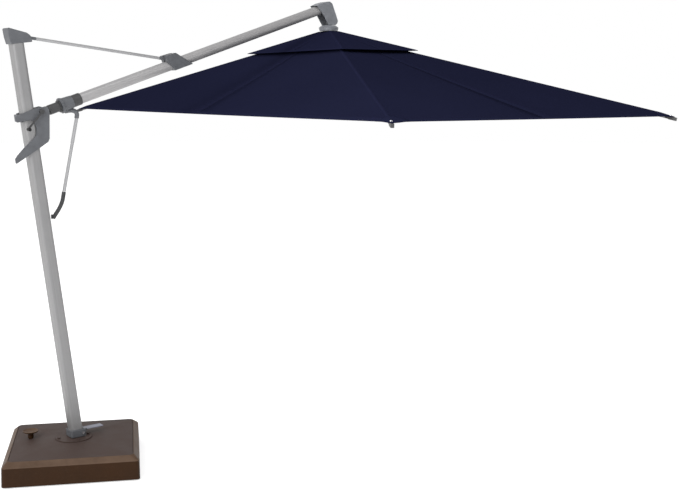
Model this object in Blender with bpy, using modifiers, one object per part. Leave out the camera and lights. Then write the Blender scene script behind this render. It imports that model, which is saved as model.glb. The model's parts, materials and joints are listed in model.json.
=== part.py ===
"""Cantilever patio umbrella with a weighted base.

A square base carries a leaning side mast on a swivel. A slider runs along the mast and pushes the
lower end of the arm, and a stay rod ties the arm to the mast's cap. The arm rolls about its own axis
to tilt the rectangular canopy, whose four ribs fold down about the hub.

Frame: metres, +Z up, origin at the centre of the base's underside, +X from the mast to the canopy.
"""

import math

import bmesh
import bpy
from mathutils import Matrix, Vector

# ---- Driving dimensions -------------------------------------------------------------------------
GAP = 0.0004  # between touching pieces

BASE_SIDE = 0.770
BASE_TURN = math.radians(-26.8)  # the base's width axis, seen from the arm's direction
SKIRT_BOTTOM, SKIRT_TOP, RIM_TOP, LID_CENTRE = 0.008, 0.120, 0.146, 0.160
RIM_INSET = 0.032
FOOT_HEIGHT, TRAY_TOP, BALLAST_TOP = 0.010, 0.018, 0.084

MAST_ROOT_Z = 0.300  # where the mast's axis crosses the swivel axis
MAST_LEAN = math.radians(6.7)
MAST_SIDE, MAST_ROUND, MAST_WALL = 0.073, 0.018, 0.0035
MAST_BOTTOM_T = -0.118  # distances T run along the mast from its root point
MAST_TOP_T = 2.200
PIVOT_FORWARD = 0.068  # both pivots lie on this line in front of the mast's axis
SLIDER_T, STAY_T = 1.805, 2.219
BODY_DROP = 0.012  # the slider body hangs this much lower than the pivot's own height

ARM_RISE = math.radians(18.46)
ARM_LENGTH = 2.170  # from under the slider pivot to the hub axis
ARM_RADIUS, ARM_WALL = 0.0310, 0.0028
EYE_RISE = 0.014  # height of the slider's pivot over the arm's axis
STAY_LUG = 0.0425  # height of the stay's pivot over the arm's axis
STAY_RADIUS = 0.009

CANOPY_X, CANOPY_Y = 2.000, 4.200  # short side along the arm
CANOPY_TURN = math.radians(-4.2)  # the canopy is set on the hub a little askew of the arm
APEX_Z, CORNER_Z = 2.605, 2.075
VENT_RISE = 0.022
CLOTH = 0.0015
MAIN_INNER, VENT_INNER, VENT_OUTER = 0.22, 0.025, 0.29  # shares of the way from apex to hem

RIB_DROP = 0.017  # rib axis below the ridge of the cloth
RIB_PIVOT_R = 0.055
STRUT_REACH, STRUT_BRACKET = 0.900, 0.020
RIB_WIDTH, RIB_HEIGHT = 0.014, 0.016
STRUT_SIDE = 0.012
TONGUE = 0.0066

# ---- Derived places -----------------------------------------------------------------------------
MAST_DIR = Vector((-math.sin(MAST_LEAN), 0, math.cos(MAST_LEAN)))
MAST_NORMAL = Vector((math.cos(MAST_LEAN), 0, math.sin(MAST_LEAN)))
ARM_DIR = Vector((math.cos(ARM_RISE), 0, math.sin(ARM_RISE)))
ARM_UP = Vector((-math.sin(ARM_RISE), 0, math.cos(ARM_RISE)))
MAST_ROOT = Vector((0, 0, MAST_ROOT_Z))
SLIDER_PIVOT = MAST_ROOT + MAST_DIR * SLIDER_T + MAST_NORMAL * PIVOT_FORWARD
STAY_TOP = MAST_ROOT + MAST_DIR * STAY_T + MAST_NORMAL * PIVOT_FORWARD
ARM_ROOT = SLIDER_PIVOT - ARM_UP * EYE_RISE  # a point on the arm's axis
# The stay's lower pivot makes an isosceles triangle with the two pivots on the mast.
STAY_ALONG = ((STAY_T - SLIDER_T) / 2 - (STAY_LUG - EYE_RISE) * ARM_UP.dot(MAST_DIR)) / ARM_DIR.dot(MAST_DIR)
STAY_LOW = ARM_ROOT + ARM_DIR * STAY_ALONG + ARM_UP * STAY_LUG
STAY_LENGTH = (STAY_TOP - STAY_LOW).length
HUB = ARM_ROOT + ARM_DIR * ARM_LENGTH  # arm's end, on the hub's vertical axis

CORNER_R = math.hypot(CANOPY_X, CANOPY_Y) / 2
RIDGE_SLOPE = (APEX_Z - CORNER_Z) / CORNER_R
RIB_ANGLE = math.atan(RIDGE_SLOPE)
RIB_PIVOT_Z = APEX_Z - RIDGE_SLOPE * RIB_PIVOT_R - RIB_DROP / math.cos(RIB_ANGLE)
RIB_LENGTH = (CORNER_R - RIB_PIVOT_R) / math.cos(RIB_ANGLE)
BRACKET_ANGLE = RIB_ANGLE + math.atan2(STRUT_BRACKET, STRUT_REACH)
LINK = math.hypot(STRUT_REACH, STRUT_BRACKET)
RUNNER_Z = RIB_PIVOT_Z - 2 * LINK * math.sin(BRACKET_ANGLE)
CORNER_TURN = math.atan2(CANOPY_Y, CANOPY_X)
CORNER_TURNS = [CORNER_TURN, math.pi - CORNER_TURN, math.pi + CORNER_TURN, -CORNER_TURN]
RIB_TURNS = [CANOPY_TURN + turn for turn in CORNER_TURNS]

# ---- Scene, materials and frames ----------------------------------------------------------------
for old in list(bpy.data.objects):
    bpy.data.objects.remove(old, do_unlink=True)
PARTS = bpy.data.collections.new("patio_umbrella")
CUTTERS = bpy.data.collections.new("cutters")
for group in (PARTS, CUTTERS):
    bpy.context.scene.collection.children.link(group)


def material(name, colour, roughness, metallic=0.0):
    made = bpy.data.materials.new(name)
    made.use_nodes = True
    shader = made.node_tree.nodes["Principled BSDF"]
    shader.inputs["Base Color"].default_value = (*colour, 1)
    shader.inputs["Roughness"].default_value = roughness
    shader.inputs["Metallic"].default_value = metallic
    return made


BROWN = material("base_brown", (0.050, 0.027, 0.015), 0.5)
LID_BROWN = material("lid_brown", (0.080, 0.058, 0.052), 0.55)
SILVER = material("anodised_silver", (0.55, 0.55, 0.57), 0.35, 0.9)
GREY = material("casting_grey", (0.115, 0.12, 0.135), 0.45, 0.2)
DARK = material("dark_grey", (0.045, 0.047, 0.052), 0.5)
STEEL = material("steel", (0.60, 0.60, 0.62), 0.3, 1.0)
NYLON = material("nylon", (0.03, 0.03, 0.03), 0.5)
STONE = material("concrete", (0.45, 0.44, 0.42), 0.9)
NAVY = material("navy_cloth", (0.012, 0.013, 0.032), 0.9)


def frame(name, place, turn, parent=None):
    """An empty at a world place, turned by a 3x3 rotation, kept in place under its parent."""
    made = bpy.data.objects.new(name, None)
    PARTS.objects.link(made)
    world = Matrix.Translation(place) @ turn.to_4x4()
    made.parent = parent
    made.matrix_world = world
    if parent:
        made.matrix_local = WORLD[parent.name].inverted() @ world
    WORLD[name] = world
    return made


WORLD = {}
UPRIGHT = Matrix.Identity(3)
MAST_TURN = Matrix.Rotation(-MAST_LEAN, 3, "Y")
ARM_TURN = Matrix.Rotation(-ARM_RISE, 3, "Y")

base_frame = frame("base_frame", Vector(), Matrix.Rotation(BASE_TURN, 3, "Z"))
swivel_frame = frame("swivel_axis", Vector(), UPRIGHT)
mast_frame = frame("mast_axis", MAST_ROOT, MAST_TURN, swivel_frame)
stay_dir = (STAY_LOW - STAY_TOP).normalized()
stay_turn = Matrix.Rotation(math.atan2(-stay_dir.z, stay_dir.x), 3, "Y")
stay_frame = frame("stay_axis", STAY_TOP, stay_turn, mast_frame)
carrier_frame = frame("carrier_axis", STAY_LOW, ARM_TURN, stay_frame)
slider_frame = frame("slider_axis", SLIDER_PIVOT, MAST_TURN, carrier_frame)
arm_frame = frame("arm_axis", ARM_ROOT, ARM_TURN, carrier_frame)
head_frame = frame("hub_axis", HUB, UPRIGHT, arm_frame)


# ---- Shape helpers ------------------------------------------------------------------------------
def place(name, data, mat, parent, at=(0, 0, 0), turn=(0, 0, 0)):
    made = bpy.data.objects.new(name, data)
    PARTS.objects.link(made)
    made.parent = parent
    made.location = at
    made.rotation_euler = turn
    made.data.materials.append(mat)
    return made


def box(name, low, high, mat, parent, bevel=0.0, at=(0, 0, 0), turn=(0, 0, 0)):
    mesh = bpy.data.meshes.new(name)
    shape = bmesh.new()
    size = [b - a for a, b in zip(low, high)]
    centre = [(a + b) / 2 for a, b in zip(low, high)]
    to_box = Matrix.Translation(centre) @ Matrix.Diagonal((*size, 1))
    bmesh.ops.create_cube(shape, size=1, matrix=to_box)
    shape.to_mesh(mesh)
    shape.free()
    made = place(name, mesh, mat, parent, at, turn)
    if bevel:
        add_bevel(made, bevel)
    return made


def add_bevel(obj, width, segments=2):
    rounding = obj.modifiers.new("rounding", "BEVEL")
    rounding.width = width
    rounding.segments = segments
    rounding.limit_method = "ANGLE"
    rounding.angle_limit = math.radians(40)


def turned(name, profile, mat, parent, at=(0, 0, 0), turn=(0, 0, 0), steps=20):
    """A profile of (radius, height) down its outer side, closed by an inner side where it is hollow."""
    ring = profile[0][0] > 0 or profile[-1][0] > 0
    edges = [(i, i + 1) for i in range(len(profile) - 1)]
    if ring:
        edges.append((len(profile) - 1, 0))
    mesh = bpy.data.meshes.new(name)
    mesh.from_pydata([(r, 0, z) for r, z in profile], edges, [])
    made = place(name, mesh, mat, parent, at, turn)
    screw = made.modifiers.new("turn", "SCREW")
    screw.steps = screw.render_steps = steps
    screw.use_merge_vertices = True
    screw.merge_threshold = 0.00001
    return made


def disc(name, radius, low, high, mat, parent, at=(0, 0, 0), turn=(0, 0, 0), steps=20, chamfer=0.0):
    side = [(radius, high), (radius, low)]
    if chamfer:
        side = [(radius - chamfer, high), (radius, high - chamfer), (radius, low + chamfer),
                (radius - chamfer, low)]
    return turned(name, [(0, high), *side, (0, low)], mat, parent, at, turn, steps)


def pipe(name, outer, inner, low, high, mat, parent, at=(0, 0, 0), turn=(0, 0, 0), steps=20):
    profile = [(outer, high), (outer, low), (inner, low), (inner, high)]
    return turned(name, profile, mat, parent, at, turn, steps)


ALONG_X = (0, math.pi / 2, 0)  # a turned piece's Z to the frame's +X
ALONG_Y = (math.pi / 2, 0, 0)  # a turned piece's Z to the frame's -Y, and a flat outline's Y to +Z


def outline_curve(name, outlines, thickness, mat, parent, at=(0, 0, 0), turn=(0, 0, 0)):
    """A flat outline, with any holes, filled and extruded both ways."""
    curve = bpy.data.curves.new(name, "CURVE")
    curve.dimensions = "2D"
    curve.fill_mode = "BOTH"
    curve.extrude = thickness / 2
    for points in outlines:
        spline = curve.splines.new("POLY")
        spline.points.add(len(points) - 1)
        for point, (x, y) in zip(spline.points, points):
            point.co = (x, y, 0, 1)
        spline.use_cyclic_u = True
    return place(name, curve, mat, parent, at, turn)


def side_plate(name, points, low_y, high_y, mat, parent, bevel=0.0):
    """An outline in the frame's XZ plane, between two Y places, as a mesh."""
    made = outline_curve(
        name, [points], high_y - low_y, mat, parent, (0, (low_y + high_y) / 2, 0), ALONG_Y
    )
    made = as_mesh(made)
    if bevel:
        add_bevel(made, bevel)
    return made


def as_mesh(curve_object):
    bpy.context.view_layer.update()
    graph = bpy.context.evaluated_depsgraph_get()
    mesh = bpy.data.meshes.new_from_object(curve_object.evaluated_get(graph))
    shape = bmesh.new()
    shape.from_mesh(mesh)
    bmesh.ops.remove_doubles(shape, verts=shape.verts, dist=0.00001)
    bmesh.ops.recalc_face_normals(shape, faces=shape.faces)
    shape.to_mesh(mesh)
    shape.free()
    name, parent, local = curve_object.name, curve_object.parent, curve_object.matrix_local.copy()
    bpy.data.objects.remove(curve_object, do_unlink=True)
    made = bpy.data.objects.new(name, mesh)
    PARTS.objects.link(made)
    made.parent = parent
    made.matrix_local = local
    return made


def rounded_square(half, radius, steps=3):
    """Corner points of a square with round corners, counter-clockwise."""
    points = []
    for corner in range(4):
        side_x, side_y = (1 if corner in (0, 3) else -1), (1 if corner < 2 else -1)
        middle = (half - radius) * side_x, (half - radius) * side_y
        for step in range(steps + 1):
            angle = (corner + step / steps) * math.pi / 2
            points.append((middle[0] + radius * math.cos(angle), middle[1] + radius * math.sin(angle)))
    return points


def loft(name, rings, mat, parent, closed):
    """Rounded squares (half side, corner radius, height) joined in turn, and last to first if closed."""
    mesh = bpy.data.meshes.new(name)
    shape = bmesh.new()
    rows = []
    for half, radius, height in rings:
        rows.append([shape.verts.new((x, y, height)) for x, y in rounded_square(half, radius)])
    pairs = list(zip(rows, rows[1:] + rows[:1])) if closed else list(zip(rows, rows[1:]))
    for first, second in pairs:
        for i in range(len(first)):
            j = (i + 1) % len(first)
            shape.faces.new((first[i], first[j], second[j], second[i]))
    if not closed:
        shape.faces.new(rows[0])
        shape.faces.new(rows[-1])
    bmesh.ops.recalc_face_normals(shape, faces=shape.faces)
    shape.to_mesh(mesh)
    shape.free()
    return place(name, mesh, mat, parent)


def rod(name, points, radius, mat, parent, resolution=2):
    curve = bpy.data.curves.new(name, "CURVE")
    curve.dimensions = "3D"
    curve.bevel_depth = radius
    curve.bevel_resolution = resolution
    curve.use_fill_caps = True
    spline = curve.splines.new("POLY")
    spline.points.add(len(points) - 1)
    for point, where in zip(spline.points, points):
        point.co = (*where, 1)
    return place(name, curve, mat, parent)


def smooth_path(knots, steps=6):
    """A Catmull-Rom curve through the knots."""
    path = []
    ends = [knots[0] * 2 - knots[1], *knots, knots[-1] * 2 - knots[-2]]
    for a, b, c, d in zip(ends, ends[1:], ends[2:], ends[3:]):
        for step in range(steps):
            t = step / steps
            path.append(
                (b * 2 + (c - a) * t + (a * 2 - b * 5 + c * 4 - d) * t**2 + (b * 3 - a - c * 3 + d) * t**3) / 2
            )
    return [*path, knots[-1]]


def helper(obj):
    """Turns an object into a cutter or a joined shape, left out of the model itself."""
    PARTS.objects.unlink(obj)
    CUTTERS.objects.link(obj)
    obj.hide_render = True
    obj.display_type = "WIRE"
    return obj


def combine(obj, other, operation):
    step = obj.modifiers.new(operation.lower(), "BOOLEAN")
    step.operation = operation
    step.solver = "EXACT"
    step.object = helper(other)


def cut(obj, other):
    combine(obj, other, "DIFFERENCE")


def join(obj, other):
    combine(obj, other, "UNION")


# ---- Base ---------------------------------------------------------------------------------------
def make_base():
    half = BASE_SIDE / 2
    wall = 0.006
    lid_half = half - RIM_INSET - 0.004
    loft(
        "base_shell",
        [
            (half, 0.020, SKIRT_BOTTOM),
            (half - 0.003, 0.020, SKIRT_TOP - 0.004),
            (half - 0.006, 0.020, SKIRT_TOP),
            (half - RIM_INSET, 0.030, RIM_TOP),
            (half - RIM_INSET - 0.003, 0.030, RIM_TOP),
            (half - RIM_INSET - 0.003, 0.030, RIM_TOP - 0.008),
            (half - RIM_INSET - 0.012, 0.028, RIM_TOP - 0.008),
            (half - RIM_INSET - 0.012, 0.028, RIM_TOP - 0.013),
            (half - RIM_INSET - 0.003, 0.028, RIM_TOP - 0.014),
            (half - wall - 0.008, 0.018, SKIRT_TOP - 0.006),
            (half - wall, 0.018, SKIRT_BOTTOM),
        ],
        BROWN,
        base_frame,
        True,
    )
    lid = loft(
        "base_lid",
        [
            (lid_half, 0.027, RIM_TOP - 0.0075),
            (lid_half, 0.027, RIM_TOP - 0.003),
            (lid_half - 0.004, 0.024, RIM_TOP),
            (0.118, 0.020, LID_CENTRE),
            (0.040, 0.020, LID_CENTRE),
            (0.040, 0.020, LID_CENTRE - 0.004),
            (0.118, 0.020, LID_CENTRE - 0.004),
            (lid_half - 0.006, 0.024, RIM_TOP - 0.0075),
        ],
        LID_BROWN,
        base_frame,
        True,
    )
    knob_at = (-0.253, 0.048)
    cut(lid, disc("knob_hole", 0.0125, 0.10, 0.20, LID_BROWN, base_frame, (*knob_at, 0)))
    # Tray with its moulded feet, one at each corner and one in the middle.
    tray = box("base_tray", (-0.370, -0.370, FOOT_HEIGHT), (0.370, 0.370, TRAY_TOP), NYLON, base_frame, 0.002)
    feet = [(0.30, 0.30), (-0.30, 0.30), (-0.30, -0.30), (0.30, -0.30)]
    for number, (x, y) in enumerate(feet, 1):
        join(tray, disc(f"foot_{number}", 0.032, 0, FOOT_HEIGHT + 0.003, NYLON, base_frame, (x, y, 0),
                        steps=16))
    join(tray, disc("foot_centre", 0.060, 0, FOOT_HEIGHT + 0.003, NYLON, base_frame, steps=24))
    for name, side in (("ballast_slab_left", 1), ("ballast_slab_right", -1)):
        low, high = sorted((side * 0.004, side * 0.352))
        slab = box(name, (-0.352, low, TRAY_TOP + GAP), (0.352, high, BALLAST_TOP), STONE, base_frame, 0.006)
        cut(slab, disc(name + "_room", 0.064, 0, 0.2, STONE, base_frame, steps=16))
        cut(slab, disc(name + "_knob_room", 0.0300, 0, 0.2, STONE, base_frame, (*knob_at, 0), steps=16))
    turned(
        "spindle_tube",
        [(0.0340, LID_CENTRE - 0.0004), (0.0340, 0.0270), (0.0600, 0.0270), (0.0600, TRAY_TOP + GAP),
         (0.0285, TRAY_TOP + GAP), (0.0285, LID_CENTRE - 0.0004)],
        STEEL, base_frame, steps=24,
    )
    ring = pipe("swivel_ring", 0.108, 0.0262, LID_CENTRE + GAP, LID_CENTRE + 0.005, GREY, base_frame,
                steps=28)
    for number, angle in enumerate((20, 110, 200, 290), 1):
        at = (0.090 * math.cos(math.radians(angle)), 0.090 * math.sin(math.radians(angle)),
              LID_CENTRE + 0.003)
        join(ring, disc(f"ring_bolt_{number}", 0.0090, 0, 0.0095, STEEL, base_frame, at, steps=6))
    knob_frame = frame(
        "base_knob_axis",
        WORLD["base_frame"] @ Vector((*knob_at, 0)),
        Matrix.Rotation(BASE_TURN, 3, "Z"),
        base_frame,
    )
    # Dished head, thick stem and a bolt that goes down through the lid.
    turned(
        "base_knob",
        [(0, 0.1905), (0.020, 0.1915), (0.038, 0.1960), (0.0455, 0.2010), (0.0470, 0.1990), (0.0440, 0.1930),
         (0.030, 0.1870), (0.0170, 0.1855), (0.0175, 0.1780), (0.0165, 0.1560), (0.0118, 0.1560),
         (0.0118, 0.0900),
         (0.0100, 0.0880), (0, 0.0880)],
        BROWN, knob_frame, steps=28,
    )


# ---- Mast ---------------------------------------------------------------------------------------
def make_mast():
    half = MAST_SIDE / 2
    tube = outline_curve(
        "mast_tube",
        [rounded_square(half, MAST_ROUND, 4), rounded_square(half - MAST_WALL, MAST_ROUND - MAST_WALL, 4)],
        MAST_TOP_T - MAST_BOTTOM_T,
        SILVER,
        mast_frame,
        (0, 0, (MAST_TOP_T + MAST_BOTTOM_T) / 2),
    )
    as_mesh(tube)
    foot_low, foot_high = LID_CENTRE + 0.0056, LID_CENTRE + 0.053
    foot = box("mast_foot", (-0.030, -0.044, foot_low), (0.060, 0.044, foot_high), GREY, swivel_frame, 0.006)
    socket = box(
        "mast_room", (-half - GAP, -half - GAP, MAST_BOTTOM_T - GAP), (half + GAP, half + GAP, 0.2), GREY,
        mast_frame
    )
    cut(foot, socket)
    join(foot, disc("swivel_spindle", 0.0255, 0.0300, foot_low + 0.004, GREY, swivel_frame))
    bolt = (0.040, -0.0444, foot_low + 0.026)
    disc("foot_bolt", 0.0085, 0, 0.007, STEEL, swivel_frame, bolt, ALONG_Y, steps=6)

    # Cap: a sloped hood with a slotted nose that holds the stay's pin.
    cap_outline = [(-0.044, -0.027), (-0.050, 0.012), (-0.052, 0.058), (-0.043, 0.0625), (0.057, 0.026),
                   (0.074, 0.011), (0.080, -0.006), (0.080, -0.027)]
    hood = [(x, z + STAY_T) for x, z in cap_outline]
    cap = side_plate("mast_cap", hood, -0.0400, 0.0400, GREY, mast_frame, 0.004)
    cut(cap, box("cap_room", (-half - GAP, -half - GAP, STAY_T - 0.10),
                 (half + GAP, half + GAP, MAST_TOP_T + GAP),
                 GREY, mast_frame))
    cut(cap, box("stay_slot", (0.042, -0.0085, STAY_T - 0.10), (0.10, 0.0085, STAY_T + 0.0125), GREY,
                 mast_frame))
    cut(cap, disc("stay_pin_hole", 0.0054, -0.0375, 0.0375, GREY, mast_frame, (PIVOT_FORWARD, 0, STAY_T),
                  ALONG_Y,
                  steps=16))
    disc("stay_top_pin", 0.0050, -0.0370, 0.0370, STEEL, mast_frame, (PIVOT_FORWARD, 0, STAY_T), ALONG_Y,
         steps=14)

    # Foot pedal that frees the swivel.
    pedal_pivot = Vector((0.0735, 0.020, LID_CENTRE + 0.036))
    pedal_frame = frame("pedal_axis", pedal_pivot, UPRIGHT, swivel_frame)
    bracket = box("pedal_bracket", (-0.0131, -0.034, -0.022), (-0.0080, 0.034, 0.010), GREY, pedal_frame)
    for side, (low, high) in enumerate(((-0.034, -0.029), (0.029, 0.034)), 1):
        join(bracket, box(f"pedal_ear_{side}", (-0.010, low, -0.008), (0.0065, high, 0.008), GREY,
                          pedal_frame))
    join(bracket, disc("pedal_pin", 0.0025, -0.032, 0.032, GREY, pedal_frame, turn=ALONG_Y, steps=10))
    pedal = box("swivel_pedal", (0.010, -0.024, -0.003), (0.118, 0.024, 0.003), DARK, pedal_frame, 0.002)
    join(pedal, box("pedal_neck", (0.000, -0.018, -0.0029), (0.020, 0.018, 0.0029), DARK, pedal_frame))
    join(pedal, disc("pedal_barrel", 0.0055, -0.0286, 0.0286, DARK, pedal_frame, turn=ALONG_Y, steps=14))
    cut(pedal, disc("pedal_pin_room", 0.0030, -0.04, 0.04, DARK, pedal_frame, turn=ALONG_Y, steps=10))


# ---- Stay ---------------------------------------------------------------------------------------
def make_stay():
    eye_half, eye_end = 0.0062, 0.050
    pin_room = 0.0055
    ends = (("stay_eye_top", 0.0, 1), ("stay_eye_low", STAY_LENGTH, -1))
    for name, at, way in ends:
        low, high = sorted((at, at + way * eye_end))
        eye = box(name, (low, -eye_half, -0.0085), (high, eye_half, 0.0085), GREY, stay_frame)
        join(eye, disc(name + "_round", 0.0105, -eye_half, eye_half, GREY, stay_frame, (at, 0, 0), ALONG_Y,
                       steps=16))
        join(eye, disc(name + "_spigot", 0.0064, 0, 0.030, GREY, stay_frame,
                       (at + way * (eye_end - 0.002), 0, 0),
                       (0, way * math.pi / 2, 0), steps=12))
        cut(eye, disc(name + "_hole", pin_room, -0.02, 0.02, GREY, stay_frame, (at, 0, 0), ALONG_Y, steps=14))
    pipe("stay_tube", STAY_RADIUS, 0.0068, eye_end + GAP, STAY_LENGTH - eye_end - GAP, SILVER, stay_frame,
         turn=ALONG_X)


# ---- Carrier: the pieces that rise with the arm but do not roll ---------------------------------
def make_carrier():
    x0 = STAY_ALONG
    outline = [(x0 - 0.015, 0.068), (x0 + 0.056, 0.064), (x0 + 0.148, -0.0345), (x0 + 0.018, -0.0345),
               (x0 - 0.013, 0.025)]
    collar = side_plate("stay_collar", outline, -0.0385, 0.0385, GREY, arm_frame)
    cut(collar, disc("arm_room", ARM_RADIUS + 0.0010, 0.6, 1.2, GREY, arm_frame, turn=ALONG_X, steps=28))
    cut(collar, box("rod_slot", (x0 - 0.08, -0.0090, 0.0150), (x0 + 0.08, 0.0090, 0.10), GREY, arm_frame))
    pin_at = (x0, 0, STAY_LUG)
    cut(collar, disc("collar_pin_hole", 0.0054, -0.0345, 0.0345, GREY, arm_frame, pin_at, ALONG_Y, steps=16))
    disc("stay_low_pin", 0.0050, -0.0340, 0.0340, STEEL, arm_frame, pin_at, ALONG_Y, steps=14)

    # Lower tube: a flat eye at the slider's pivot, then a round tube with a fin, then the roll spigot.
    tube = turned(
        "lower_tube",
        [(0, 0.250), (0.0210, 0.250), (0.0220, 0.248), (0.0220, 0.1290), (0.0355, 0.1285), (0.0355, 0.1245),
         (0.0285, 0.1235), (0.0285, 0.0640), (0.0260, 0.0580), (0, 0.0580)],
        DARK, arm_frame, turn=ALONG_X, steps=24,
    )
    eye_at = (0, 0, EYE_RISE)
    join(tube, box("eye_bar", (0.0, -0.0120, -0.0110), (0.066, 0.0120, 0.0250), DARK, arm_frame))
    join(tube, disc("eye_round", 0.0180, -0.0120, 0.0120, DARK, arm_frame, eye_at, ALONG_Y, steps=20))
    cut(tube, disc("eye_hole", 0.0086, -0.05, 0.05, DARK, arm_frame, eye_at, ALONG_Y, steps=20))


# ---- Arm: the pieces that roll ------------------------------------------------------------------
def make_arm():
    pipe("roll_bush", 0.0278, 0.0224, 0.2165, 0.2460, NYLON, arm_frame, turn=ALONG_X, steps=24)
    pipe("arm_tube", ARM_RADIUS, ARM_RADIUS - ARM_WALL, 0.2140, ARM_LENGTH - 0.048, SILVER, arm_frame,
         turn=ALONG_X,
         steps=28)
    pipe("arm_socket", 0.0352, ARM_RADIUS + GAP, 0.2100, 0.2630, DARK, arm_frame, turn=ALONG_X, steps=28)
    collar = turned(
        "tilt_collar",
        [(0.0370, 0.2090), (0.0385, 0.1850), (0.0400, 0.1560), (0.0455, 0.1430), (0.0455, 0.1360),
         (0.0400, 0.1330), (0.0226, 0.1330), (0.0226, 0.2090)],
        GREY, arm_frame, turn=ALONG_X, steps=28,
    )
    horn_knots = [Vector(p) for p in ((0.153, 0, -0.0375), (0.188, 0, -0.044), (0.211, 0, -0.059),
                                      (0.2155, 0, -0.077), (0.2055, 0, -0.098))]
    horn = as_mesh(rod("horn", smooth_path(horn_knots, 3), 0.0135, GREY, arm_frame))
    join(collar, horn)

    # Lever: from the horn down towards the mast, in the arm's own frame.
    to_arm = WORLD["arm_axis"].inverted()
    lever_low = to_arm @ (SLIDER_PIVOT + Vector((0.137, 0, -0.463)))
    lever_top = horn_knots[-1] + (lever_low - horn_knots[-1]).normalized() * 0.0010
    rod("lever_tube", [lever_top, lever_low], 0.0105, SILVER, arm_frame)
    grip_start = lever_low + (lever_low - lever_top).normalized() * 3 * GAP
    grip_knots = [grip_start]
    grip_knots += [to_arm @ (SLIDER_PIVOT + Vector(p)) for p in ((0.1245, 0, -0.519), (0.1030, 0, -0.561),
                                                                 (0.0775, 0, -0.596), (0.0650, 0, -0.614))]
    grip = as_mesh(rod("lever_grip", smooth_path(grip_knots, 3), 0.0125, NYLON, arm_frame))
    tip = to_arm @ (SLIDER_PIVOT + Vector((0.0610, 0, -0.603)))
    catch = box("lever_catch", (-0.006, -0.006, -0.013), (0.010, 0.006, 0.011), NYLON, arm_frame, 0, tip,
                (0, ARM_RISE, 0))
    join(grip, catch)


def make_head():
    outline = [(-0.126, -0.002), (-0.082, 0.017), (-0.040, 0.028), (-0.018, 0.030), (0.002, 0.018),
               (0.030, -0.046), (0.050, -0.095), (0.044, -0.112), (0.029, -0.123), (-0.029, -0.123),
               (-0.070, -0.062)]
    cheek_in, cheek_out = 0.0332, 0.0400
    left = side_plate("head_cheek_left", outline, cheek_in, cheek_out, GREY, head_frame, 0.002)
    side_plate("head_cheek_right", outline, -cheek_out, -cheek_in, GREY, head_frame, 0.002)
    # Crown: the strap between the cheeks, over the arm's end and down the front.
    top = outline[:8]
    inner = [(-0.114, 0.0000), (-0.080, 0.0115), (-0.040, 0.0225), (-0.021, 0.0240), (-0.004, 0.0140),
             (0.0245, -0.048), (0.0435, -0.095), (0.039, -0.108)]
    crown = outline_curve("head_crown", [top + inner[::-1]], 0.0660, GREY, head_frame, turn=ALONG_Y)
    as_mesh(crown)
    # The lift cord's pulley turns on a pin that is one with the left cheek.
    pulley_frame = frame("pulley_axis", HUB + Vector((-0.012, 0, -0.018)), UPRIGHT, head_frame)
    join(left, disc("pulley_pin", 0.0040, -0.0360, 0.0125, STEEL, pulley_frame, turn=ALONG_Y, steps=14))
    pulley = disc("cord_pulley", 0.0150, -0.0100, 0.0100, NYLON, pulley_frame, turn=ALONG_Y, chamfer=0.002)
    cut(pulley, disc("pulley_hole", 0.0045, -0.0200, 0.0200, NYLON, pulley_frame, turn=ALONG_Y, steps=14))
    neck_top, neck_low = HUB.z - 0.066, RIB_PIVOT_Z + 0.0122
    turned(
        "hub_neck",
        [(0.0100, neck_top - HUB.z), (0.0200, neck_top - HUB.z), (0.0205, -0.1200), (0.0235, -0.1230),
         (0.0235, neck_low - HUB.z), (0.0100, neck_low - HUB.z)],
        GREY, head_frame, steps=24,
    )
    pin = (0, 0, -0.090)
    disc("neck_pin", 0.0055, -cheek_in + GAP, -0.0212, STEEL, head_frame, pin, (-math.pi / 2, 0, 0), steps=12)
    cap_low = APEX_Z + VENT_RISE + 0.004 - HUB.z
    turned(
        "top_cap",
        [(0.0480, cap_low + 0.018), (0.0660, cap_low + 0.004), (0.0660, cap_low), (0.0240, cap_low),
         (0.0240, cap_low + 0.018)],
        GREY, head_frame, steps=28,
    )


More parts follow.
